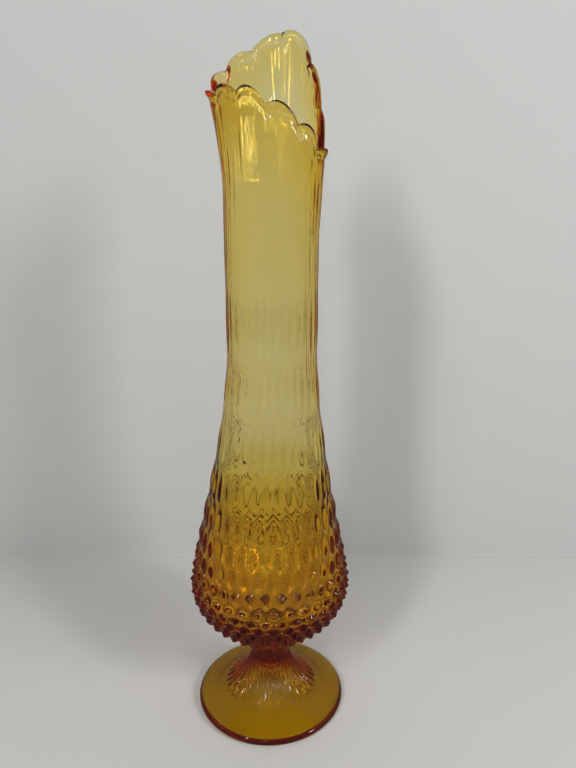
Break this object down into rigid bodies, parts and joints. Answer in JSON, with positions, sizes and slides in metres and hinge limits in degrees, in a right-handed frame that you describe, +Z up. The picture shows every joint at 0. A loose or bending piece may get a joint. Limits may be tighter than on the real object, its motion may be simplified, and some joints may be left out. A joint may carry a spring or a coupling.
{
  "type": "swung vase",
  "caption": "Tall footed vase of amber glass with a hobnail bowl, a ribbed neck drawn out by swinging, and a slanted scalloped lip.",
  "frame": {"origin": "centre of the ring that the foot stands on, in the plane of the table", "axes": "+Z up along the vase, -Y towards the low front of the lip that the picture shows, +X to its right"},
  "size_m": [0.108, 0.1076, 0.4402],
  "materials": {
    "amber_glass": "clear amber glass, fire-polished, smooth with faint drawn streaks in the neck"
  },
  "bodies": {
    "root": {"foot": "amber_glass", "stem": "amber_glass", "body": "amber_glass"}
  },
  "joints": []
}
